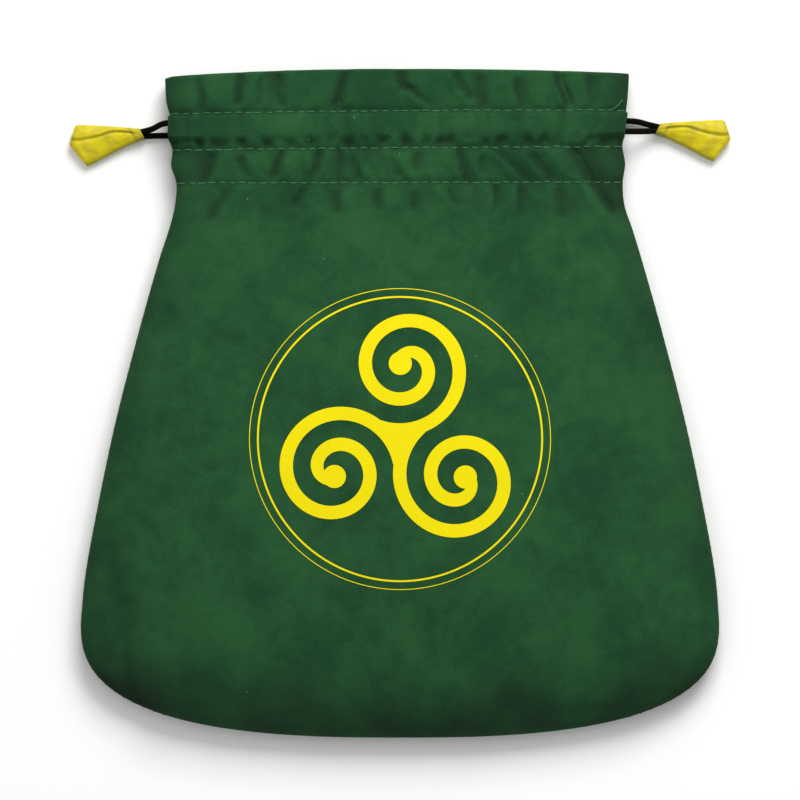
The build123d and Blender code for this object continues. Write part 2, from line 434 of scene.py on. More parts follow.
@dataclass(frozen=True)
class PileVelvet:
    """Short-pile velvet, dyed and brushed.

    The cut pile has no gloss of its own; it goes soft and patchy where it was brushed or
    pressed, a painted shade darkens it in the folds, along the bottom and beside the seams,
    and its fibres catch a faint light at the edges.
    """

    bright: str = "25522e"
    deep: str = "1a4226"
    painted_shade_colour: str = "16261a"
    lint: str = "6f9c7c"
    patch: float = 26.0
    crush: float = 6.0
    fibre: float = 0.7
    crush_share: float = 0.5
    fibre_share: float = 0.42
    tone_shift: float = 0.46
    darkest_tone: float = 0.34
    brightest_tone: float = 0.64
    lint_step: float = 5.0
    lint_size: float = 0.055
    lint_rarity: float = 0.95

    def make(self, name: str) -> bpy.types.Material:
        """Build the material.

        Args:
            name: its name.

        Returns:
            The velvet, with its pattern on the flat cloth and painted shade where the mesh carries it.
        """
        material, place = start_material(name, "UV")
        patches = clouds(material, place, self.patch, {"Detail": 3.0, "Roughness": 0.55})
        rumpled = {"Detail": 4.0, "Roughness": 0.6, "Distortion": 0.6}
        crushed = clouds(material, place, self.crush, rumpled)
        fibres = clouds(material, place, self.fibre, {"Detail": 2.0, "Roughness": 0.7})
        soft = reckon(material, "MULTIPLY_ADD", crushed, self.crush_share, patches)
        mixed = reckon(material, "MULTIPLY_ADD", fibres, self.fibre_share, soft)
        # The three patterns add up to about 0.96, so this brings them to a ramp's middle.
        tone = reckon(material, "SUBTRACT", mixed, self.tone_shift)
        colour = ramp(
            material, tone, (self.darkest_tone, self.deep), (self.brightest_tone, self.bright),
        )
        colour = toward(material, self.lint_spots(material, place), colour, self.lint)
        # Painted shade: the mesh's shade attribute turns the colour towards a dark green.
        colour = toward(material, painted_shade(material), colour, self.painted_shade_colour)
        pile = reckon(material, "MULTIPLY_ADD", fibres, 0.6, crushed)
        return surface(material, colour, (pile, 0.35, 0.25), {
            "Roughness": 0.95, "Specular IOR Level": 0.12,
            "Sheen Weight": 0.14, "Sheen Roughness": 0.45, "Sheen Tint": linear("5c8f5a"),
        })

    def lint_spots(self, material: bpy.types.Material, place: bpy.types.NodeSocket) -> bpy.types.NodeSocket:
        """Rare pale specks of lint, as a share of half strength."""
        specks = add_node(
            material, "ShaderNodeTexVoronoi", {"feature": "F1"},
            {"Scale": 1 / (self.lint_step * MM), "Randomness": 1.0}, {"Vector": place},
        )
        near = reckon(material, "LESS_THAN", specks.outputs["Distance"], self.lint_size)
        picks = add_node(material, "ShaderNodeSeparateColor", links={"Color": specks.outputs["Color"]})
        rare = reckon(material, "GREATER_THAN", picks.outputs[0], self.lint_rarity)
        return reckon(material, "MULTIPLY", reckon(material, "MULTIPLY", near, rare), 0.5)


@dataclass(frozen=True)
class WovenSatin:
    """Satin cloth: long floating threads, softly glossy, with a painted shade that turns it olive."""

    face: str = "d0bf10"
    shade: str = "b8a81a"
    satin_shade: str = "7c7c1c"
    thread: float = 0.35
    cloud: float = 5.0

    def make(self, name: str) -> bpy.types.Material:
        """Build the material with its fine cross-thread lines."""
        material, place = start_material(name, "UV")
        uneven = {"Distortion": 1.2, "Detail": 2.0, "Detail Scale": 1.5}
        threads = ribs(material, place, self.thread, "Y", uneven)
        cloudy = clouds(material, place, self.cloud, {"Detail": 3.0})
        both = reckon(material, "MULTIPLY_ADD", threads, 0.04, cloudy)
        colour = ramp(material, both, (0.38, self.shade), (0.62, self.face))
        # Painted shade: the mesh's shade attribute turns the yellow towards olive.
        colour = toward(material, painted_shade(material), colour, self.satin_shade)
        return surface(
            material, colour, (threads, 0.06, 0.05), {"Roughness": 0.42, "Specular IOR Level": 0.22},
        )


@dataclass(frozen=True)
class SatinCord:
    """Braided satin cord, dyed black: close slanting ribs that take most of the gloss away."""

    colour: str = "0a0904"
    rib: float = 0.5

    def make(self, name: str) -> bpy.types.Material:
        """Build the material with ribs along the cord."""
        material, place = start_material(name, "Object")
        braid = ribs(material, place, self.rib, "DIAGONAL", {"Distortion": 0.4})
        return surface(
            material, self.colour, (braid, 0.4, 0.1), {"Roughness": 0.8, "Specular IOR Level": 0.04},
        )


@dataclass(frozen=True)
class ScreenInk:
    """Opaque printing ink squeezed on to pile: flat and even, with a faint fibre texture."""

    colour: str = "e8d808"
    worn: str = "e3d30a"
    pile: float = 0.8

    def make(self, name: str) -> bpy.types.Material:
        """Build the material."""
        material, place = start_material(name, "Object")
        fibres = clouds(material, place, self.pile, {"Detail": 2.0})
        colour = ramp(material, fibres, (0.3, self.worn), (0.6, self.colour))
        return surface(
            material, colour, (fibres, 0.15, 0.05), {"Roughness": 0.75, "Specular IOR Level": 0.08},
        )


@dataclass(frozen=True)
class TwistedThread:
    """Twisted polyester sewing thread: fine slanting plies, a little glossier than the pile."""

    colour: str = "376c43"
    ply: float = 0.45

    def make(self, name: str) -> bpy.types.Material:
        """Build the material."""
        material, place = start_material(name, "Object")
        plies = ribs(material, place, self.ply, "DIAGONAL")
        return surface(
            material, self.colour, (plies, 0.3, 0.05), {"Roughness": 0.55, "Specular IOR Level": 0.3},
        )


@dataclass(frozen=True)
class PaintedBoard:
    """Board painted a flat white: bright all over, with next to no shine."""

    colour: str = "fbfbfa"

    def make(self, name: str) -> bpy.types.Material:
        """Build the material, which has no pattern."""
        material = bpy.data.materials.new(name)
        material.use_nodes = True
        shader = material.node_tree.nodes["Principled BSDF"]
        shader.inputs["Base Color"].default_value = linear(self.colour)
        shader.inputs["Roughness"].default_value = 0.9
        shader.inputs["Specular IOR Level"].default_value = 0.1
        return material


# ---------------------------------------------------------------- the bag's form


@dataclass(frozen=True)
class Fold:
    """One soft fold: a valley along a line, with a low ridge beside it.

    top and bottom are its ends as (x, y), width is half the valley's width, and step is how far
    the cloth on its outer side lies lower.
    """

    top: tuple[float, float]
    bottom: tuple[float, float]
    depth: float
    width: float
    ridge: float = 0.35
    step: float = 0.0

    def height(self, x: float, y: float) -> float:
        """Height of the fold above the smooth cloth at a place."""
        (x0, y0), (x1, y1) = self.bottom, self.top
        along = (y - y0) / (y1 - y0)
        if not -0.25 < along < 1.25:
            return 0.0
        fade = smooth((along + 0.25) * 3) * smooth((1.25 - along) * 3)
        away = x - (x0 + (x1 - x0) * along) + 0.9 * grain(y / 5.5, x0 / 3, 71.0)
        side = 1.0 if x0 > 0 else -1.0
        crest = self.ridge * hill(away + side * 1.9 * self.width, self.width)
        valley = 0.75 * hill(away, 0.72 * self.width) + 0.3 * hill(away - side * self.width, 1.8 * self.width)
        lower = self.step * smooth(side * away / self.width + 0.5) * math.exp(-abs(away) / 14)
        return fade * (self.depth * (crest - valley) - lower)


HEADER_FOLDS = (
    Fold((-66.5, 108.5), (-65.5, 97.5), 1.0, 1.7),
    Fold((-52.3, 109.0), (-53.5, 99.5), 1.3, 2.0),
    Fold((-46.0, 107.0), (-46.5, 99.0), 0.8, 1.3),
    Fold((-40.5, 108.8), (-39.0, 98.5), 1.4, 2.1),
    Fold((-17.5, 109.0), (-21.0, 98.5), 1.6, 2.0),
    Fold((-0.8, 109.0), (0.6, 103.0), 1.5, 1.5),
    Fold((3.0, 104.0), (9.0, 98.5), 1.2, 1.8),
    Fold((17.8, 109.0), (22.5, 100.5), 1.5, 1.5),
    Fold((25.5, 107.0), (27.5, 97.5), 1.1, 2.6),
    Fold((38.5, 106.0), (41.5, 97.5), 1.1, 2.0),
    Fold((52.5, 109.0), (56.0, 98.0), 1.7, 1.6),
    Fold((64.0, 108.0), (65.0, 98.5), 0.6, 2.4),
)
BAND_FOLDS = (
    Fold((-60.5, 82.5), (-64.3, 74.0), 0.9, 2.0, 0.35, 0.5),
    Fold((-52.0, 81.0), (-50.5, 75.0), 0.8, 2.2),
    Fold((-38.8, 82.5), (-41.5, 75.0), 1.4, 1.6),
    Fold((-26.0, 82.5), (-29.0, 75.0), 1.3, 1.5),
    Fold((-19.9, 83.0), (-19.9, 75.0), 1.0, 1.1),
    Fold((-15.2, 81.0), (-13.8, 74.5), 0.9, 1.2),
    Fold((-2.8, 80.0), (-0.8, 75.0), 0.8, 1.6),
    Fold((6.0, 82.0), (4.5, 77.0), 0.8, 2.4),
    Fold((19.3, 83.0), (21.0, 73.5), 1.3, 1.0),
    Fold((27.3, 80.5), (27.0, 75.5), 0.9, 1.3),
    Fold((32.0, 83.0), (41.0, 74.0), 1.3, 1.6),
    Fold((43.5, 81.5), (49.5, 74.0), 1.2, 1.8),
    Fold((52.5, 82.0), (57.5, 75.0), 0.9, 1.5),
    Fold((57.0, 83.0), (69.5, 63.0), 1.0, 2.2, 0.5, 0.9),
)
PLEATS = (
    Fold((-31.5, 71.0), (-35.0, 65.5), 1.3, 1.3),
    Fold((-20.5, 69.5), (-21.0, 63.0), 0.9, 1.6),
    Fold((-7.0, 70.0), (-7.5, 64.5), 0.8, 1.8),
    Fold((6.0, 70.0), (3.5, 64.0), 0.7, 2.0),
    Fold((15.5, 71.0), (18.5, 65.5), 0.9, 1.2),
    Fold((31.2, 72.0), (31.8, 64.5), 1.2, 1.0),
    Fold((39.0, 71.0), (39.5, 62.5), 1.0, 1.1),
    Fold((51.5, 70.5), (53.0, 61.5), 0.8, 2.0),
    Fold((-56.0, 71.0), (-62.0, 61.0), 0.9, 2.4),
)
LOOSE_FOLDS = (
    Fold((-96.0, -48.0), (-87.0, -96.0), 1.5, 5.0, 0.9),
    Fold((63.0, 52.0), (79.0, 25.0), 0.9, 5.0, 0.6),
    Fold((90.0, -20.0), (84.0, -85.0), 0.8, 6.0, 0.7),
    Fold((-66.0, 55.0), (-76.0, 22.0), 0.8, 5.5, 0.6),
)


@dataclass
class BagForm:
    """Form of the filled bag: outline, puff, stitched pinches, gathers and folds.

    Places are nominal: y is the height on an unbent bag, and bend() gives where it lies.
    """

    mouth_y: float = 110.0
    widest_y: float = -72.0
    bottom_y: float = -103.0
    lowest_y: float = -110.0
    widest: float = 105.7
    corner_power: float = 2.65
    seam_z: float = 7.1
    rows_y: tuple[float, float, float] = (96.2, 84.0, 72.6)
    neck_puff: float = 6.2
    belly_puff: float = 17.6
    belly_y: float = -30.0
    lowest: float = 0.25
    seam_dip: float = 0.6
    cord_clear: float = 6.3
    hem_shade_y: float = -84.0
    fold_gain: float = 1.3
    hem_clear: float = 3.9
    left_edge: tuple[tuple[float, float], ...] = (
        (-72.0, 105.7), (-58.0, 104.4), (-40.0, 101.3),
        (-8.0, 94.7), (24.0, 86.5), (47.0, 80.0), (58.0, 76.4), (65.0, 74.7), (72.6, 74.2),
        (78.5, 75.9), (84.0, 75.5), (89.0, 76.3), (95.2, 76.3), (101.0, 77.5), (110.0, 78.0),
    )
    right_edge: tuple[tuple[float, float], ...] = (
        (-72.0, 105.7), (-58.0, 104.6), (-40.0, 101.6),
        (-8.0, 95.0), (24.0, 86.8), (47.0, 80.3), (58.0, 76.9), (65.0, 74.5), (72.6, 73.9),
        (78.5, 74.7), (84.0, 73.8), (90.0, 74.1), (96.2, 75.0), (102.0, 75.6), (110.0, 76.0),
    )

    def edge(self, y: float, side: Side) -> float:
        """Half width of the bag at a nominal height, on one side."""
        if y < self.widest_y:
            share = (self.widest_y - y) / (self.widest_y - self.lowest_y)
            return self.widest * (1 - share**self.corner_power) ** (1 / self.corner_power)
        return through(self.left_edge if side is Side.LEFT else self.right_edge, y)

    def bend(self, x: float, y: float) -> float:
        """Where a nominal height lies at x: rows and edges aren't quite straight."""
        if y < self.widest_y:
            depth = (self.widest_y - y) / (self.widest_y - self.bottom_y)
            reach = min(1.0, abs(x) / self.edge(y, Side.LEFT)) * self.edge(self.bottom_y, Side.LEFT)
            drop = (1 - (reach / self.widest) ** self.corner_power) ** (1 / self.corner_power)
            bowed = self.widest_y - (self.widest_y - self.lowest_y) * drop
            return y + (bowed - self.bottom_y) * depth**1.5
        share = x / NECK_HALF
        lean = 0.62 * share
        droop = 2.6 if x < 0 else 1.6
        known = (
            (self.widest_y, 0.0),
            (60.0, 0.0),
            (self.rows_y[2], 0.15 * share),
            (self.rows_y[1], lean - 0.15 * share**2),
            (self.rows_y[0], lean - 0.45 * share**2),
            (self.mouth_y, -droop * abs(share) ** 2.2 - 0.5 * smooth((abs(share) - 0.98) / 0.04)),
        )
        return y + np.interp(y, [k for k, _ in known], [v for _, v in known])

    def puff(self, y: float, cloth: Cloth) -> float:
        """How far the panel stands from the seam plane at the middle of the bag."""
        if cloth is Cloth.BACK:
            flat = self.seam_z - self.lowest
            if y < self.widest_y:
                share = (self.widest_y - y) / (self.widest_y - self.bottom_y)
                return flat * (1 - share**2.4) + 0.4 * share
            return flat
        if y > self.belly_y:
            share = smooth((self.mouth_y - 14 - y) / (self.mouth_y - 14 - self.belly_y))
            return self.neck_puff + (self.belly_puff - self.neck_puff) * share
        share = (self.belly_y - y) / (self.belly_y - self.bottom_y)
        return self.belly_puff * (1 - share**3.2) ** 0.62 + 0.4 * share

    def roundness(self, y: float, cloth: Cloth) -> float:
        """Power of the cross-section: high is flat-topped, low is domed."""
        neck = smooth((y - 20) / 55)
        low = 2.9 if cloth is Cloth.FRONT else 9.0
        return low + (13.0 - low) * neck

    def slit(self, y: float) -> float:
        """Share by which the side seam is open at a height, between the two casing rows."""
        upper, lower = self.rows_y[0] - 0.9, self.rows_y[1] + 0.9
        if not lower < y < upper:
            return 0.0
        return math.sin(math.pi * (y - lower) / (upper - lower)) ** 0.6

    def gathers(self, x: float, y: float, cloth: Cloth) -> float:
        """Height of wrinkles, pinches and folds above the smooth panel."""
        seed = cloth.wrinkle_seed
        upper, middle, lower = self.rows_y
        if cloth is Cloth.BACK:
            x = -x
        height = 0.0
        # Each stitched row pulls the cloth in, unevenly.
        for row in self.rows_y:
            pull = 0.45 + 0.4 * grain(x / 5.0, row, seed + 2)
            height -= pull * hill(y - row, 1.0) + 0.3 * hill(y - row, 2.6)
        # The header stands free above the upper row: broad waves, fine ones and its folds.
        if y > upper - 1:
            rise = smooth((y - upper + 1) / 3.5)
            height += rise * (
                0.9 * grain(x / 6.0, y / 34, seed) + 0.5 * grain(x / 2.8, y / 20, seed + 5)
                + 0.25 + self.fold_gain * sum(fold.height(x, y) for fold in HEADER_FOLDS)
            )
        # The casing bulges over the cords, with upright ripples and dimples by its lower row.
        if middle < y < upper:
            share = (y - middle) / (upper - middle)
            height += 1.0 * math.sin(math.pi * share) ** 0.7
            height += 0.85 * math.sin(math.pi * share) ** 0.5 * grain(x / 3.1, y / 22, seed + 13)
            height += 0.5 * math.sin(math.pi * share) * grain(x / 8.0, y / 9, seed + 15)
            dimple = smooth(0.45 + 1.5 * grain(x / 3.6, y / 11, seed + 9))
            height -= 1.9 * hill(share - 0.18 - 0.06 * grain(x / 3.0, 5.0, seed), 0.14) * dimple
        # The band under the casing has its own folds, which run out below the lowest row.
        if y < middle + 1:
            fade = smooth((middle + 1 - y) / 3) * smooth((y - lower + 14) / 8)
            height += fade * self.fold_gain * sum(fold.height(x, y) for fold in BAND_FOLDS)
            height += fade * 0.6 * grain((x + y * 0.5) / 3.6, y / 18, seed + 17)
        # Pleats fan out of the lowest row and fade into the loose folds of the body.
        if y < lower:
            fade = math.exp(-(lower - y) / 12)
            start = smooth((lower - y) / 2.5)
            height += start * self.fold_gain * sum(fold.height(x, y) for fold in PLEATS)
            height += 0.6 * fade * start * grain(x / 4.4, y / 36, seed + 21)
            height += 0.5 * start * hill(y - lower + 9, 3.0) * grain(x / 12.0, y / 20, seed + 25)
            height += sum(fold.height(x, y) for fold in LOOSE_FOLDS)
        # The body sags in broad, shallow waves; the seams and the bottom pucker.
        belly = smooth((lower - 10 - y) / 40)
        height += belly * 1.1 * grain(x / 48, y / 60, seed + 29)
        height += belly * 0.35 * grain((x + y) / 17, (x - y) / 34, seed + 33)
        edge = self.edge(y, Side.LEFT if x < 0 else Side.RIGHT)
        rim = math.exp(-max(0.0, edge - abs(x)) / 7) * smooth((lower - y) / 14)
        height += 0.5 * rim * grain(y / 4.6, x / 30, seed + 37)
        hem = math.exp(-max(0.0, y - self.bottom_y) / 8)
        height += 0.5 * hem * grain(x / 6.2, y / 20, seed + 41)
        return height

    def shade(self, x: float, y: float, cloth: Cloth) -> float:
        """Painted shade on the pile: in folds, by the seams, along the bottom, in ripples, at lower left.

        Args:
            x: place across, on the wider side's scale.
            y: nominal height.
            cloth: which panel.

        Returns:
            0 for full colour, 1 for the darkest.
        """
        seed = cloth.shade_seed
        height = self.gathers(x, y, cloth)
        if y > self.rows_y[2] - 14:
            valley = 0.66 * smooth((0.3 - height) / 2.0)
        else:
            valley = 0.4 * smooth(-height / 3)
        inside = self.edge(y, Side.LEFT if x < 0 else Side.RIGHT) - abs(x)
        rim = 0.42 * math.exp(-max(0.0, inside) / 5.5)
        line = self.hem_shade_y + 13 * grain(x / 24, 2.0, seed) + 6 * (x / 90) ** 2
        hem = smooth((line - y) / 17) * (0.5 + 0.12 * hill(x, 55) + 0.35 * grain(x / 13, y / 9, seed + 3))
        middle, upper = self.rows_y[1], self.rows_y[0]
        ripple = 0.0
        if middle < y < upper:
            ripple = 0.5 * max(0.0, -grain(x / 3.1, y / 22, cloth.wrinkle_seed + 13))
        # Painted shade towards the lower left, in soft streaks.
        low_left = smooth((-x - 52) / 40) * smooth((-y - 28) / 40)
        low_left_shade = low_left * (0.14 + 0.4 * grain(x / 8, y / 70, seed + 7))
        return min(1.0, max(0.0, valley + rim + hem + low_left_shade + ripple))

    def over_cords(self, y: float) -> float:
        """Share by which the cloth must clear the cords at a height."""
        return smooth((y - self.rows_y[1] - 2.6) / 1.4) * smooth((self.rows_y[0] - 0.2 - y) / 0.8)

    def surface(self, share: float, y: float, cloth: Cloth) -> Point:
        """Place on a panel.

        Args:
            share: place across, from -1 at the left seam to 1 at the right one.
            y: nominal height.
            cloth: which panel.

        Returns:
            The point, in millimetres.
        """
        side = Side.LEFT if share < 0 else Side.RIGHT
        reach = self.edge(y, side)
        power = self.roundness(y, cloth)
        dome = max(0.0, 1 - abs(share) ** power) ** 0.5
        rise = self.puff(y, cloth) * dome
        x = share * reach
        calm = smooth((1 - abs(share)) * reach / 6.0)
        rise += self.gathers(x, y, cloth) * (0.25 + 0.75 * calm) * min(1.0, dome * 2)
        ripple = 0.5 + 0.5 * grain(x / 2.4, y / 15, 61.0) + 0.5 * grain(x / 5.5, y / 18, 67.0)
        rise = max(rise, (self.cord_clear + 0.8 * max(0.0, ripple) * calm) * self.over_cords(y), 0.0)
        x -= side.sign * self.seam_dip * max(0.0, 1 - rise / 1.6) ** 2 * (1 - self.slit(y))
        z = self.seam_z + cloth.sign * rise
        if cloth is Cloth.BACK:
            z = max(z, self.lowest)
        return x, self.bend(x, y), z


@dataclass
class VelvetPanels:
    """Front and back velvet panels with the hem that is turned into the neck."""

    form: BagForm
    velvet: bpy.types.Material
    columns: int = 150
    neck_rows: int = 42
    belly_rows: int = 120
    corner_rows: int = 42
    fold_rows: int = 9
    fold_radius: float = 1.0
    joint_rows: int = 5
    least_gap: float = 0.35

    def shares(self) -> list[float]:
        """Places across a panel, closer together beside the seams."""
        found = []
        for column in range(self.columns + 1):
            place = 2 * column / self.columns - 1
            found.append(place + 0.12 * math.sin(math.pi * place))
        return found

    def neck_heights(self) -> list[float]:
        """Nominal heights of the neck's rows, up to where the cloth turns over."""
        low, high = self.form.rows_y[2], self.form.mouth_y - self.fold_radius
        return [low + (high - low) * row / self.neck_rows for row in range(self.neck_rows + 1)]

    def body_heights(self) -> list[float]:
        """Nominal heights of the body's rows, closer together at the round corners."""
        form = self.form
        found = []
        for row in range(self.corner_rows):
            angle = math.pi / 2 * (1 - row / self.corner_rows)
            found.append(form.widest_y - (form.widest_y - form.bottom_y) * math.sin(angle))
        span = form.rows_y[2] - form.widest_y
        for row in range(self.belly_rows + 1):
            found.append(form.widest_y + span * row / self.belly_rows)
        return found

    def outer_grid(self, cloth: Cloth, heights: Sequence[float]) -> np.ndarray:
        """Points of a panel's outer face, row by row."""
        return np.array([[self.form.surface(s, y, cloth) for s in self.shares()] for y in heights])

    def turned_grids(self, cloth: Cloth, outer: np.ndarray) -> tuple[np.ndarray, np.ndarray]:
        """Rows that turn over the mouth, and the hem behind them.

        Args:
            cloth: which panel.
            outer: the panel's outer neck grid.

        Returns:
            The fold's grid, which starts after the outer grid's last row, and the hem's.
        """
        form = self.form
        last = outer[-1]
        inward = np.array([0.0, 0.0, -cloth.sign])
        fold = []
        for step in range(1, self.fold_rows + 1):
            turn = math.pi * step / self.fold_rows
            row = last + inward * self.fold_radius * (1 - math.cos(turn))
            row = row + np.array([0.0, self.fold_radius * math.sin(turn), 0.0])
            fold.append(row)
        middle = (form.rows_y[0] + form.rows_y[1]) / 2
        casing = (form.rows_y[0] - form.rows_y[1]) / 2
        hem = []
        heights = self.neck_heights()
        for row in range(self.neck_rows, -1, -1):
            y = heights[row]
            gap = 1.3 + 0.7 * smooth((y - form.rows_y[0]) / 6)
            gap += 1.9 * hill((y - middle) / casing, 0.62)
            line = outer[row] + inward * min(gap, 3.2)
            height = (line[:, 2] - form.seam_z) * cloth.sign
            held = np.minimum(height, form.hem_clear)
            height += (held - height) * form.over_cords(y)
            line[:, 2] = form.seam_z + cloth.sign * height
            hem.append(line)
        fold_grid, hem_grid = np.array(fold), np.array(hem)
        for grid in (fold_grid, hem_grid):
            self.keep_inside(grid, cloth)
        blend = np.linspace(0, 1, self.joint_rows)[:, None, None]
        hem_grid[:self.joint_rows] = fold_grid[-1] * (1 - blend) + hem_grid[:self.joint_rows] * blend
        hem_grid[0] = fold_grid[-1]
        return fold_grid, hem_grid

    def keep_inside(self, grid: np.ndarray, cloth: Cloth) -> None:
        """Hold the turned cloth on its own side of the seam plane and inside the side seams."""
        form = self.form
        height = (grid[:, :, 2] - form.seam_z) * cloth.sign
        short = np.clip(self.least_gap - height, 0, None)
        grid[:, :, 2] = form.seam_z + cloth.sign * np.maximum(height, self.least_gap)
        grid[:, :, 0] -= np.sign(grid[:, :, 0]) * np.minimum(short, 2.2) * 0.9

    def halves(
        self,
        name: str,
        grid: np.ndarray,
        cloth: Cloth,
        normal_grid: np.ndarray,
        shade: np.ndarray,
        flat_start: float,
    ) -> list[tuple[Side, bpy.types.Object]]:
        """Make the left and right half of a grid, which meet without an edge.

        Args:
            name: what the pieces are called, before the side.
            grid: points, rows x columns x 3.
            cloth: which panel the grid is part of.
            normal_grid: normals in the same layout.
            shade: painted shade of the pile in the same layout.
            flat_start: place of the first row on the flat cloth.

        Returns:
            Each side with its piece.
        """
        middle = self.columns // 2
        steps = np.linalg.norm(np.diff(grid, axis=0), axis=2).mean(axis=1)
        along = flat_start + np.concatenate([[0.0], np.cumsum(steps)])
        found = []
        for side, part in ((Side.LEFT, slice(0, middle + 1)), (Side.RIGHT, slice(middle, None))):
            half = grid[:, part]
            rows, columns = half.shape[:2]
            flat = [(half[r, c, 0], along[r]) for r in range(rows) for c in range(columns)]
            faces = grid_faces(rows, columns, cloth is Cloth.BACK)
            piece = mesh_piece(
                f"{name}_{side.value}", half.reshape(-1, 3), faces, self.velvet, flat,
                normal_grid[:, part].reshape(-1, 3), shade[:, part].ravel(),
            )
            found.append((side, piece))
        return found

    def make(self, cloth: Cloth) -> dict[str, bpy.types.Object]:
        """Build one panel: body, neck and hem, left and right.

        Args:
            cloth: which panel.

        Returns:
            The pieces by name.
        """
        body = self.outer_grid(cloth, self.body_heights())
        neck = self.outer_grid(cloth, self.neck_heights())
        fold, hem = self.turned_grids(cloth, neck)
        whole = np.concatenate([body, neck[1:], fold, hem[1:]])
        normals = grid_normals(whole, cloth.sign)
        heights = self.body_heights() + self.neck_heights()[1:]
        outside = []
        for y in heights:
            reach = self.form.edge(y, Side.LEFT)
            outside.append([self.form.shade(place * reach, y, cloth) for place in self.shares()])
        # Painted shade: the turned-in hem is half dark all over, and the turn takes the outer neck's last
        # row.
        shade = np.full(whole.shape[:2], 0.5)
        shade[:len(heights)] = outside
        shade[len(heights):len(heights) + len(fold)] = outside[-1]
        body_end, neck_end = len(body), len(body) + len(neck) - 1 + len(fold)
        parts = (
            ("body", slice(0, body_end)),
            ("neck", slice(body_end - 1, neck_end)),
            ("hem", slice(neck_end - 1, None)),
        )
        made = {}
        flat_place = 0.0
        for part, rows in parts:
            found = self.halves(
                f"{cloth.value}_{part}", whole[rows], cloth, normals[rows], shade[rows], flat_place,
            )
            flat_place += float(np.linalg.norm(np.diff(whole[rows], axis=0), axis=2).mean(axis=1).sum())
            for side, piece in found:
                node = f"{cloth.value}_hem" if part == "hem" else f"{cloth.value}_panel"
                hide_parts(node)
                if part == "body":
                    gather_body(piece)
                else:
                    gather_neck(piece)
                made[piece.name] = piece
                BUILD_LOG.info("%s: %d points", piece.name, len(piece.data.vertices))
        self.declare()
        return made

    def declare(self) -> None:
        """Work out the flat half width of a body piece, with its seam allowance; nothing reads it."""
        form = self.form
        body_width = form.edge(form.widest_y, Side.LEFT) + 6


def gather_neck(piece: bpy.types.Object) -> None:
    """Bake a neck piece's place into its mesh."""
    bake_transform(piece)


def gather_body(piece: bpy.types.Object) -> None:
    """Bake a body piece's place into its mesh."""
    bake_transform(piece)


# ---------------------------------------------------------------- stitches and threads


@dataclass
class ClothFinder:
    """Finds the height of a panel's outer face at a place."""

    pieces: Sequence[bpy.types.Object]
    cloth: Cloth

    def __post_init__(self) -> None:
        """Join the pieces' faces in one search tree."""
        meshes = [piece.data for piece in self.pieces]
        points, faces = joined(
            ([v.co.copy() for v in mesh.vertices], [tuple(p.vertices) for p in mesh.polygons])
            for mesh in meshes
        )
        self.tree = BVHTree.FromPolygons(points, faces)

    def height(self, x: float, y: float) -> float:
        """Height of the cloth at a place, in millimetres."""
        start = Vector((x * MM, y * MM, self.cloth.sign * 1.0))
        hit = self.tree.ray_cast(start, Vector((0, 0, -self.cloth.sign)))[0]
        if hit is None:
            hit = self.tree.find_nearest(Vector((x * MM, y * MM, self.cloth.sign * 0.02)))[0]
        return hit.z / MM


@dataclass
class StitchRow:
    """One row of lockstitches round one face of the neck."""

    form: BagForm
    thread: bpy.types.Material
    row_y: float
    cloth: Cloth
    node: str
    seed: int
    pitch: float = 3.4
    radius: float = 0.2
    margin: float = 0.5
    steps: int = 5

    def stitch(self, finder: ClothFinder, x: float, length: float, dip: float, stray: float) -> list[Vector]:
        """Middle line of one stitch that bows over the cloth and sinks at both ends.

        Args:
            finder: the cloth under it.
            x: where it starts.
            length: how far it runs.
            dip: how deep it is pulled into the pile.
            stray: how far its middle lies off the row.

        Returns:
            Points along it.
        """
        path = []
        for step in range(self.steps + 1):
            share = step / self.steps
            at = x + length * share
            y = self.form.bend(at, self.row_y)
            bow = math.sin(math.pi * share)
            lift = self.radius * (0.25 + 0.8 * bow) - dip
            z = finder.height(at, y) + self.cloth.sign * lift
            if self.cloth is Cloth.BACK:
                z = max(z, self.radius)
            path.append(Vector((at, y + stray * bow, z)))
        return path

    def make(self, finder: ClothFinder) -> None:
        """Build both halves of the row."""
        picks = random.Random(self.seed)
        for side in Side:
            stitches = []
            reach = self.form.edge(self.row_y, side) - self.margin
            count = round(reach / self.pitch)
            pitch = reach / count
            for index in range(count):
                length = pitch * picks.uniform(0.62, 0.93)
                near = pitch * (index + 0.04 + picks.uniform(0.0, 0.06))
                x = near if side is Side.RIGHT else -near - length
                dip, stray = picks.uniform(-0.02, 0.2), picks.uniform(-0.16, 0.16)
                path = self.stitch(finder, x, length, dip, stray)
                stitches.append(tube(path, self.radius, THREAD_SIDES))
            piece = mesh_piece(f"{self.node}_{side.value}", *joined(stitches), self.thread)
            gather_neck(stand_in(piece, self.node))


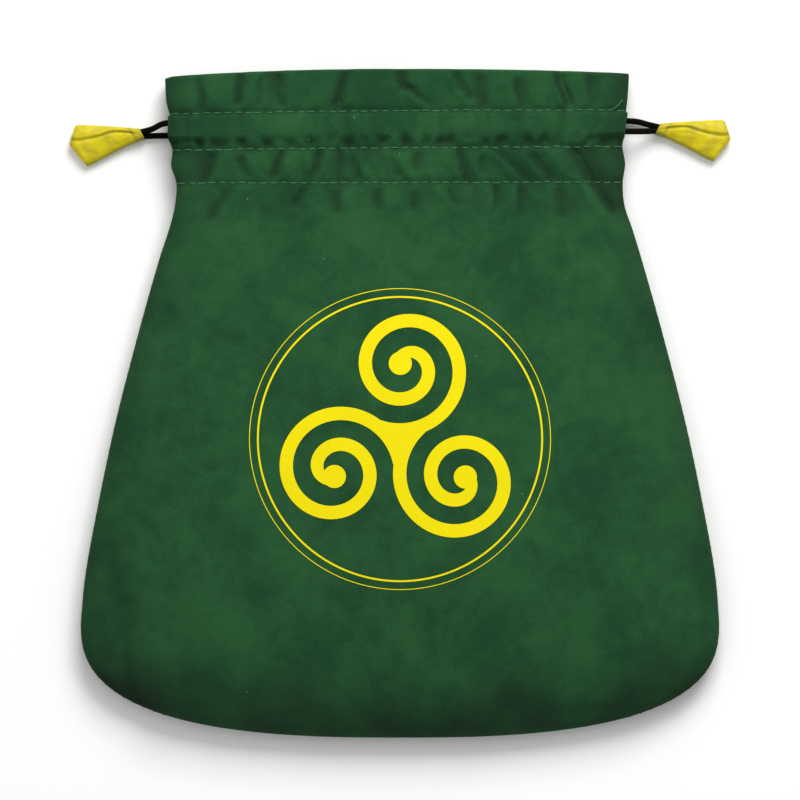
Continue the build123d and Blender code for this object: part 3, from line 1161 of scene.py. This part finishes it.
@dataclass
class SeamThread:
    """Short stitches that show in the groove of the side and bottom seams."""

    form: BagForm
    thread: bpy.types.Material
    pitch: float = 3.4
    radius: float = 0.2
    half_length: float = 0.8
    corner_steps: int = 160
    bottom_steps: int = 200

    def bars(self, line: Sequence[Vector]) -> Skin:
        """Small bars across the groove, at even steps along a line."""
        found = []
        walked = 0.0
        for before, after in zip(line, line[1:]):
            walked += (after - before).length
            if walked < self.pitch:
                continue
            walked = 0.0
            along = (after - before).normalized()
            lean = Vector((0, 0, self.half_length)) + along * 0.35
            found.append(tube([before - lean, before, before + lean], self.radius, 6))
        return joined(found)

    def seam_point(self, side: Side, y: float) -> Vector:
        """Bottom of the seam groove on one side at a height."""
        x = side.sign * (self.form.edge(y, side) - self.form.seam_dip - 0.1)
        return Vector((x, self.form.bend(x, y), self.form.seam_z))

    def corner(self, side: Side) -> list[Vector]:
        """Seam groove round one bottom corner, from the widest place down."""
        form = self.form
        found = []
        for step in range(self.corner_steps):
            angle = math.pi / 2 * step / (self.corner_steps - 1)
            y = form.widest_y - (form.widest_y - form.bottom_y) * math.sin(angle)
            found.append(self.seam_point(side, y))
        return found

    def make(self) -> None:
        """Build the two side seams and the bottom seam."""
        form = self.form
        for side in Side:
            heights = np.arange(form.rows_y[2] - 2, form.widest_y, -0.4)
            points, faces = self.bars([self.seam_point(side, y) for y in heights])
            piece = mesh_piece(f"{side.value}_seam_thread_shown", points, faces, self.thread)
            gather_body(stand_in(piece, f"{side.value}_seam_thread"))
        right, left = self.corner(Side.RIGHT), self.corner(Side.LEFT)
        flat = []
        for step in range(1, self.bottom_steps):
            x = right[-1].x + (left[-1].x - right[-1].x) * step / self.bottom_steps
            flat.append(Vector((x, form.bend(x, form.bottom_y) + form.seam_dip, form.seam_z)))
        points, faces = self.bars(right + flat + left[::-1])
        piece = mesh_piece("bottom_seam_thread_shown", points, faces, self.thread)
        stand_in(piece, "bottom_seam_thread", "bag")


@dataclass
class ThreadTail:
    """Loose end of sewing thread at the right of the upper front row."""

    form: BagForm
    thread: bpy.types.Material
    radius: float = 0.2
    steps: int = 13
    start_x: float = 69.2
    across: float = 4.0
    last_cloth_x: float = 72.8
    rise: float = 3.4
    lift: float = 0.5

    def make(self, finder: ClothFinder) -> None:
        """Build the curling end."""
        path = []
        for step in range(self.steps + 1):
            share = step / self.steps
            x = self.start_x + self.across * share
            y = self.form.bend(x, self.form.rows_y[0]) + self.radius + self.rise * share**1.8
            z = finder.height(min(x, self.last_cloth_x), y) + self.radius + self.lift * share**2
            path.append(Vector((x, y, z)))
        piece = mesh_piece(
            "front_thread_tail_shown", *tube(path, self.radius, THREAD_SIDES), self.thread,
        )
        gather_neck(stand_in(piece, "front_thread_tail"))


# ---------------------------------------------------------------- printed emblem


@dataclass
class PrintedEmblem:
    """Screen print: three joined spirals, a traditional ornament, in two thin rings."""

    ink: bpy.types.Material
    centre_y: float = -11.6
    lift: float = 0.14
    outer_ring: tuple[float, float] = (49.3, 0.27)
    inner_ring: tuple[float, float] = (46.55, 0.62)
    spiral_at: tuple[float, float] = (1.5, 23.4)
    spiral_start: float = 17.85
    spiral_pitch: float = 10.2
    band: float = 4.4
    first_degree: int = -114
    last_degree: int = 486
    taper_degree: int = 390
    end_taper: float = 0.95
    eye_at: tuple[float, float] = (0.1, 24.75)
    eye_radius: float = 3.8
    hub_radius: float = 2.5
    reach: float = 46.0
    fill_step: float = 1.1
    ring_steps: int = 400

    def spiral_edge(self, side: int) -> list[Vector]:
        """One edge of the top spiral's band, from its outer end inwards."""
        found = []
        for degree in range(self.first_degree, self.last_degree + 1, 3):
            radius = self.spiral_start - self.spiral_pitch * degree / 360 + side * self.band / 2
            if side > 0:
                taper = (degree - self.taper_degree) / (self.last_degree - self.taper_degree)
                radius -= self.end_taper * smooth(taper)
            turn = math.radians(degree)
            x = self.spiral_at[0] + radius * math.cos(turn)
            found.append(Vector((x, self.spiral_at[1] + radius * math.sin(turn))))
        return found

    def outlines(self) -> list[list[Vector]]:
        """Closed outlines that overlap to make the figure."""
        band = self.spiral_edge(1) + self.spiral_edge(-1)[::-1]
        eye = circle(*self.eye_at, self.eye_radius, 40)
        found = [circle(0.0, 0.0, self.hub_radius, 24)]
        for turn in range(3):
            angle = 2 * math.pi * turn / 3
            cosine, sine = math.cos(angle), math.sin(angle)
            for outline in (band, eye):
                found.append([
                    Vector((cosine * p.x - sine * p.y, sine * p.x + cosine * p.y)) for p in outline
                ])
        return found

    def laid(self, flat: Sequence[Vector], finder: ClothFinder) -> list[Point]:
        """Lay flat points of the emblem on the cloth."""
        found = []
        for p in flat:
            y = self.centre_y + p.y
            found.append((p.x, y, finder.height(p.x, y) + self.lift))
        return found

    def make_figure(self, finder: ClothFinder) -> None:
        """Fill the joined spirals with small triangles and lay them on the cloth."""
        points: list[Vector] = []
        loops: Faces = []
        for outline in self.outlines():
            first = len(points)
            points += outline
            loops.append(tuple(range(first, len(points))))
        reach = self.reach
        count = int(2 * reach / self.fill_step)
        for row in range(count):
            for column in range(count):
                shift = 0.5 * (row % 2)
                x = -reach + (column + shift) * self.fill_step
                y = -reach + row * self.fill_step
                if math.hypot(x, y) < reach:
                    points.append(Vector((x, y)))
        flat, _, faces, _, _, _ = geometry.delaunay_2d_cdt(points, [], loops, 1, 1e-4)
        self.print_piece("printed_triskele", self.laid(flat, finder), [tuple(f) for f in faces])

    def make_ring(self, finder: ClothFinder, size: tuple[float, float], node: str) -> None:
        """Lay one thin ring on the cloth."""
        radius, line = size
        steps = self.ring_steps
        flat = circle(0.0, 0.0, radius - line / 2, steps) + circle(0.0, 0.0, radius + line / 2, steps)
        faces = [(steps + s, steps + (s + 1) % steps, (s + 1) % steps, s) for s in range(steps)]
        self.print_piece(node, self.laid(flat, finder), faces)

    def print_piece(self, node: str, points: Sequence[Point], faces: Faces) -> None:
        """Make one part of the print, which lies on the bag."""
        piece = mesh_piece(f"{node}_shown", points, faces, self.ink)
        stand_in(piece, node, "bag")

    def make(self, finder: ClothFinder) -> None:
        """Build the whole print."""
        self.make_figure(finder)
        self.make_ring(finder, self.inner_ring, "printed_inner_ring")
        self.make_ring(finder, self.outer_ring, "printed_outer_ring")


# ---------------------------------------------------------------- drawcords and tabs


CASING_FRONT_Z, CASING_BACK_Z = 12.15, 2.05
LEFT_ROUTE = (
    (91.4, 88.2, 3.4), (88.5, 88.7, 3.5), (85.0, 89.5, 3.7), (81.3, 90.4, 5.0), (78.3, 92.2, 8.5),
    (72.0, 92.6, CASING_FRONT_Z), (60.0, 92.6, CASING_FRONT_Z),
    (-60.0, 92.5, CASING_FRONT_Z), (-73.45, 92.5, CASING_FRONT_Z),
    (-73.45, 88.5, CASING_BACK_Z), (-60.0, 88.5, CASING_BACK_Z),
    (60.0, 88.4, CASING_BACK_Z), (72.0, 88.4, CASING_BACK_Z),
    (78.5, 88.3, 2.1), (85.0, 88.15, 2.2), (88.5, 87.4, 2.0), (91.4, 87.0, 1.8),
)
RIGHT_ROUTE = (
    (91.4, 88.9, 3.4), (88.5, 89.3, 3.5), (85.0, 89.85, 3.7), (81.3, 89.7, 5.0), (78.3, 89.5, 8.5),
    (72.0, 89.5, CASING_FRONT_Z), (60.0, 89.5, CASING_FRONT_Z),
    (-60.0, 89.6, CASING_FRONT_Z), (-73.45, 89.6, CASING_FRONT_Z),
    (-73.45, 93.1, CASING_BACK_Z), (-60.0, 93.1, CASING_BACK_Z),
    (60.0, 93.2, CASING_BACK_Z), (72.0, 93.2, CASING_BACK_Z),
    (78.0, 93.1, 2.1), (81.5, 92.0, 2.2), (85.0, 91.2, 2.2), (88.5, 90.4, 2.0), (91.4, 90.1, 1.8),
)


@dataclass
class Drawcord:
    """One cord: out of its tab, through the front casing, round the far edge and back."""

    side: Side
    cord: bpy.types.Material
    route: tuple[Point, ...]
    diameter: float = 2.0

    def make(self) -> bpy.types.Object:
        """Build the cord on one smooth line."""
        name = f"{self.side.value}_drawcord"
        curve = bpy.data.curves.new(f"{name}_shown", "CURVE")
        curve.dimensions = "3D"
        curve.bevel_depth = self.diameter / 2 * MM
        curve.bevel_resolution = 5
        curve.resolution_u = 24
        curve.use_fill_caps = True
        spline = curve.splines.new("NURBS")
        spline.points.add(len(self.route) - 1)
        for point, (x, y, z) in zip(spline.points, self.route):
            point.co = (self.side.sign * x * MM, y * MM, z * MM, 1)
        spline.order_u = 3
        spline.use_endpoint_u = True
        curve.materials.append(self.cord)
        piece = bpy.data.objects.new(f"{name}_shown", curve)
        bpy.context.scene.collection.objects.link(piece)
        return stand_in(piece, name, f"{self.side.value}_pull")


@dataclass
class WrappedKnot:
    """Knot inside the tab: the cord's ends wound tightly round both strands."""

    side: Side
    cord: bpy.types.Material
    centre: Point
    length: float = 3.2
    turns: float = 2.25
    wound: float = 1.3
    radius: float = 0.6
    steps: int = 60

    def make(self) -> bpy.types.Object:
        """Build the winding."""
        x, y, z = self.centre
        path = []
        for step in range(self.steps + 1):
            share = step / self.steps
            turn = 2 * math.pi * self.turns * share
            out = x + self.length * (share - 0.5)
            across, up = self.wound * math.cos(turn), self.wound * math.sin(turn)
            path.append(Vector((self.side.sign * out, y + across, z + up)))
        name = f"{self.side.value}_knot"
        piece = mesh_piece(f"{name}_shown", *tube(path, self.radius), self.cord)
        return stand_in(piece, name, f"{self.side.value}_pull")


@dataclass
class BarTack:
    """Three short stitches through both leaves of the tab, beside the strands."""

    side: Side
    thread: bpy.types.Material
    start: Point
    count: int = 3
    bow: float = 0.05
    height: float = 2.2
    pitch: float = 1.1
    radius: float = 0.2

    def make(self) -> None:
        """Build the stitches."""
        stitches = []
        x, y, z = self.start
        for index in range(self.count):
            foot = Vector((self.side.sign * (x + index * self.pitch), y, z))
            middle = foot + Vector((0, self.bow, self.height / 2))
            stitches.append(tube([foot, middle, foot + Vector((0, 0, self.height))], self.radius, 6))
        name = f"{self.side.value}_tab_tack"
        piece = mesh_piece(f"{name}_shown", *joined(stitches), self.thread)
        stand_in(piece, name, f"{self.side.value}_pull")


@dataclass
class SatinTab:
    """Folded satin tab on a cord's end: a tapered wrap, rolled over along its upper edge.

    Edges are lists of (share along the tab, distance out, height above the middle).
    """

    side: Side
    satin: bpy.types.Material
    near_x: float
    near_y: float
    thickness: float = 5.2
    near_half: float = 2.25
    edge_half: float = 0.75
    rows: int = 60
    around: int = 72
    upper: tuple[Point, ...] = (
        (0.0, 0.0, 1.75), (0.08, 1.8, 1.9), (0.5, 11.2, 2.55), (0.9, 20.3, 3.0), (1.0, 21.9, 2.7),
    )
    lower: tuple[Point, ...] = (
        (0.0, 0.0, -1.95), (0.08, 1.5, -2.3), (0.5, 9.2, -6.1), (0.92, 16.6, -10.1), (1.0, 18.0, -10.7),
    )
    slant: float = 0.5
    corner_at: float = 0.46
    corner_out: float = 3.9
    crease: tuple[tuple[float, float], ...] = (
        (1.5, 0.2), (5.0, 0.75), (10.0, 0.85), (14.0, -0.45), (21.0, -1.8), (23.5, -1.5),
    )

    def edge(self, points: tuple[Point, ...], share: float) -> tuple[float, float]:
        """Distance out and height of one edge, at a share of the tab's length."""
        out = through([(at, out) for at, out, _ in points], share)
        return out, through([(at, up) for at, _, up in points], share)

    def section(self, share: float, turn: float) -> Point:
        """Point of the tab's skin.

        Args:
            share: place along the tab, 0 at the cord.
            turn: angle round the section, 0 at the upper edge and a half turn at the lower.

        Returns:
            Distance out, place across and height.
        """
        (top_out, top), (low_out, low) = self.edge(self.upper, share), self.edge(self.lower, share)
        down = (1 - math.cos(turn)) / 2
        tent = min(down / self.corner_at, (1 - down) / (1 - self.corner_at))
        bulge = 1.07 - math.sqrt((1 - tent) ** 2 + 0.005)
        out = top_out + (low_out - top_out) * down + self.corner_out * share**3 * bulge
        y = top + (low - top) * down
        near = smooth(out / 6)
        half = self.near_half + (self.thickness / 2 - self.near_half) * near
        close = math.sqrt(max(0.0, 1 - max(0.0, (share - 0.93) / 0.07) ** 2))
        thick = self.edge_half * 0.4 + (half - self.edge_half * 0.4) * (0.25 + 0.75 * close)
        thick *= 1 - 0.25 * near * smooth(down * 1.6 - 0.3)
        z = math.copysign(thick * abs(math.sin(turn)) ** 0.72, math.sin(turn))
        if math.sin(turn) > 0:
            away = y - through(self.crease, out)
            z += near * (0.35 * smooth(away / 0.5 + 0.5) - 0.75 * hill(away + 0.25, 0.42))
            z += 0.3 * grain(out / 5.0, y / 1.9, 8.0 + self.side.sign) * near
            z += 0.12 * grain(out / 1.5, y / 1.1, 18.0 + self.side.sign)
            wrap = out - 2.0 - (y + 1.5) * 0.6
            z += 0.45 * smooth(0.5 - wrap / 0.35)
            z -= 0.12 * hill(wrap - 0.5, 0.3)
            z -= 0.3 * smooth((low + 2.6 - y) / 2.4) * near
        return out + self.slant * (y + 0.1) * (1 - smooth(out / 5)), y, z

    def satin_shade(self, share: float, turn: float) -> float:
        """Painted shade on the satin: along the lower edge, in the crease and round the mouth."""
        out, y, _ = self.section(share, turn)
        low = self.edge(self.lower, share)[1]
        crease = hill(y - through(self.crease, out) + 0.25, 0.4) * smooth(out / 4)
        mouth = 0.5 * hill(out - 2.6 - (y + 1.5) * 0.6, 0.35) + 0.45 * smooth(1 - out / 2.6)
        return min(1.0, 0.75 * smooth((low + 1.9 - y) / 2.0) + 0.55 * crease + mouth)

    def make(self) -> bpy.types.Object:
        """Build the tab's skin and its two ends."""
        points: list[Point] = []
        flat: list[tuple[float, float]] = []
        tab_shade: list[float] = []
        middle = self.thickness / 2 + 0.05
        for row in range(self.rows + 1):
            share = 1 - (1 - row / self.rows) ** 1.35
            for step in range(self.around):
                u, v, w = self.section(share, 2 * math.pi * step / self.around)
                x = self.side.sign * (self.near_x + u)
                points.append((x, self.near_y + v, max(0.05, middle + w)))
                flat.append((u, v))
                # Painted shade of the satin at this point.
                tab_shade.append(self.satin_shade(share, 2 * math.pi * step / self.around))
        faces: Faces = []
        for row in range(self.rows):
            for step in range(self.around):
                a = row * self.around + step
                b = row * self.around + (step + 1) % self.around
                quad = (a, b, b + self.around, a + self.around)
                faces.append(quad[::-1] if self.side is Side.RIGHT else quad)
        around, last = self.around, self.rows * self.around
        for first in (0, last):
            outward = (first == last) == (self.side is Side.LEFT)
            for step in range(around // 2 - 1):
                far, farther = first + (around - step) % around, first + (around - step - 1) % around
                quad = (first + step, first + step + 1, farther, far)
                faces.append(quad if outward else quad[::-1])
        name = f"{self.side.value}_tab"
        piece = mesh_piece(f"{name}_shown", points, faces, self.satin, flat, shade=tab_shade)
        return stand_in(piece, name, f"{self.side.value}_pull")


# ---------------------------------------------------------------- studio


@dataclass
class Studio:
    """Pale floor, soft lights and the camera above the bag."""

    view_width: float = 264.0
    camera_height: float = 3000.0
    aim_y: float = 1.15
    sensor: float = 36.0
    floor_half: float = 6000.0
    world_strength: float = 0.45

    def camera(self) -> None:
        """Place a long lens straight above the bag."""
        data = bpy.data.cameras.new("overhead")
        data.sensor_width = self.sensor
        data.lens = self.sensor * self.camera_height / self.view_width
        data.clip_start, data.clip_end = 0.1, 20.0
        camera = bpy.data.objects.new("overhead", data)
        camera.location = (0, self.aim_y * MM, self.camera_height * MM)
        bpy.context.scene.collection.objects.link(camera)
        bpy.context.scene.camera = camera

    def floor(self) -> None:
        """Lay a large matt white floor."""
        size = self.floor_half
        corners = [(-size, -size, 0), (size, -size, 0), (size, size, 0), (-size, size, 0)]
        board = PaintedBoard().make("painted_white_board")
        mesh_piece("floor", corners, [(0, 1, 2, 3)], board)

    def light(self, name: str, place: Point, size: float, power: float) -> None:
        """Add a soft square light that points at the bag.

        Args:
            name: what it is called.
            place: where it stands, in metres.
            size: its edge, in metres.
            power: its power, in watts.
        """
        data = bpy.data.lights.new(name, "AREA")
        data.size = size
        data.energy = power
        lamp = bpy.data.objects.new(name, data)
        lamp.location = place
        lamp.rotation_mode = "QUATERNION"
        lamp.rotation_quaternion = (-Vector(place)).to_track_quat("-Z", "Y")
        lamp.visible_camera = False
        bpy.context.scene.collection.objects.link(lamp)

    def make(self) -> None:
        """Build the whole set."""
        self.camera()
        self.floor()
        self.light("key", (0.24, 0.95, 0.95), 0.75, 16.4)
        self.light("fill", (-0.3, 0.2, 1.6), 1.2, 4.0)
        # The room's own white light fills what the two lamps leave.
        world = bpy.data.worlds.new("studio")
        world.use_nodes = True
        back = world.node_tree.nodes["Background"]
        back.inputs["Color"].default_value = (1, 1, 1, 1)
        back.inputs["Strength"].default_value = self.world_strength
        bpy.context.scene.world = world
        bpy.context.scene.view_settings.view_transform = "Standard"


# ---------------------------------------------------------------- assembly


def dress_cad(nodes: Sequence[str], material: bpy.types.Material) -> None:
    """Give CAD pieces that stay as they are a better finish."""
    for name in nodes:
        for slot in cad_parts[name].material_slots:
            slot.material = material


def main() -> None:
    """Build the bag from its sub-assemblies, in order."""
    logging.basicConfig(level=logging.INFO, format="%(name)s %(message)s")
    Studio().make()

    cord = SatinCord().make("black_satin_cord")
    satin = WovenSatin().make("yellow_woven_satin")
    velvet = PileVelvet().make("green_pile_velvet")
    thread = TwistedThread().make("green_sewing_thread")
    yellow_thread = TwistedThread(colour="c9b52a").make("yellow_sewing_thread")
    ink = ScreenInk().make("yellow_screen_ink")

    for side, route in ((Side.LEFT, LEFT_ROUTE), (Side.RIGHT, RIGHT_ROUTE)):
        Drawcord(side, cord, route).make()

    form = BagForm()
    panels = VelvetPanels(form, velvet)
    finders = {}
    for cloth in Cloth:
        made = panels.make(cloth)
        shown = [piece for name, piece in made.items() if "hem" not in name]
        finders[cloth] = ClothFinder(shown, cloth)

    seed = 20
    for cloth in Cloth:
        for row_name, row_y in zip(("upper", "middle", "lower"), form.rows_y):
            seed += 1
            node = f"{cloth.value}_{row_name}_stitches"
            StitchRow(form, thread, row_y, cloth, node, seed).make(finders[cloth])
    SeamThread(form, thread).make()
    ThreadTail(form, thread).make(finders[Cloth.FRONT])
    PrintedEmblem(ink).make(finders[Cloth.FRONT])

    for side, near_y in ((Side.LEFT, 88.85), (Side.RIGHT, 90.5)):
        tab = SatinTab(side, satin, 84.9, near_y).make()
        knot = WrappedKnot(side, cord, (93.2, near_y - 1.3, 2.6)).make()
        BarTack(side, yellow_thread, (88.6, near_y + 1.35, 1.6)).make()
    dress_cad(["left_header_seam", "right_header_seam"], thread)


if __name__ == "__main__":
    main()
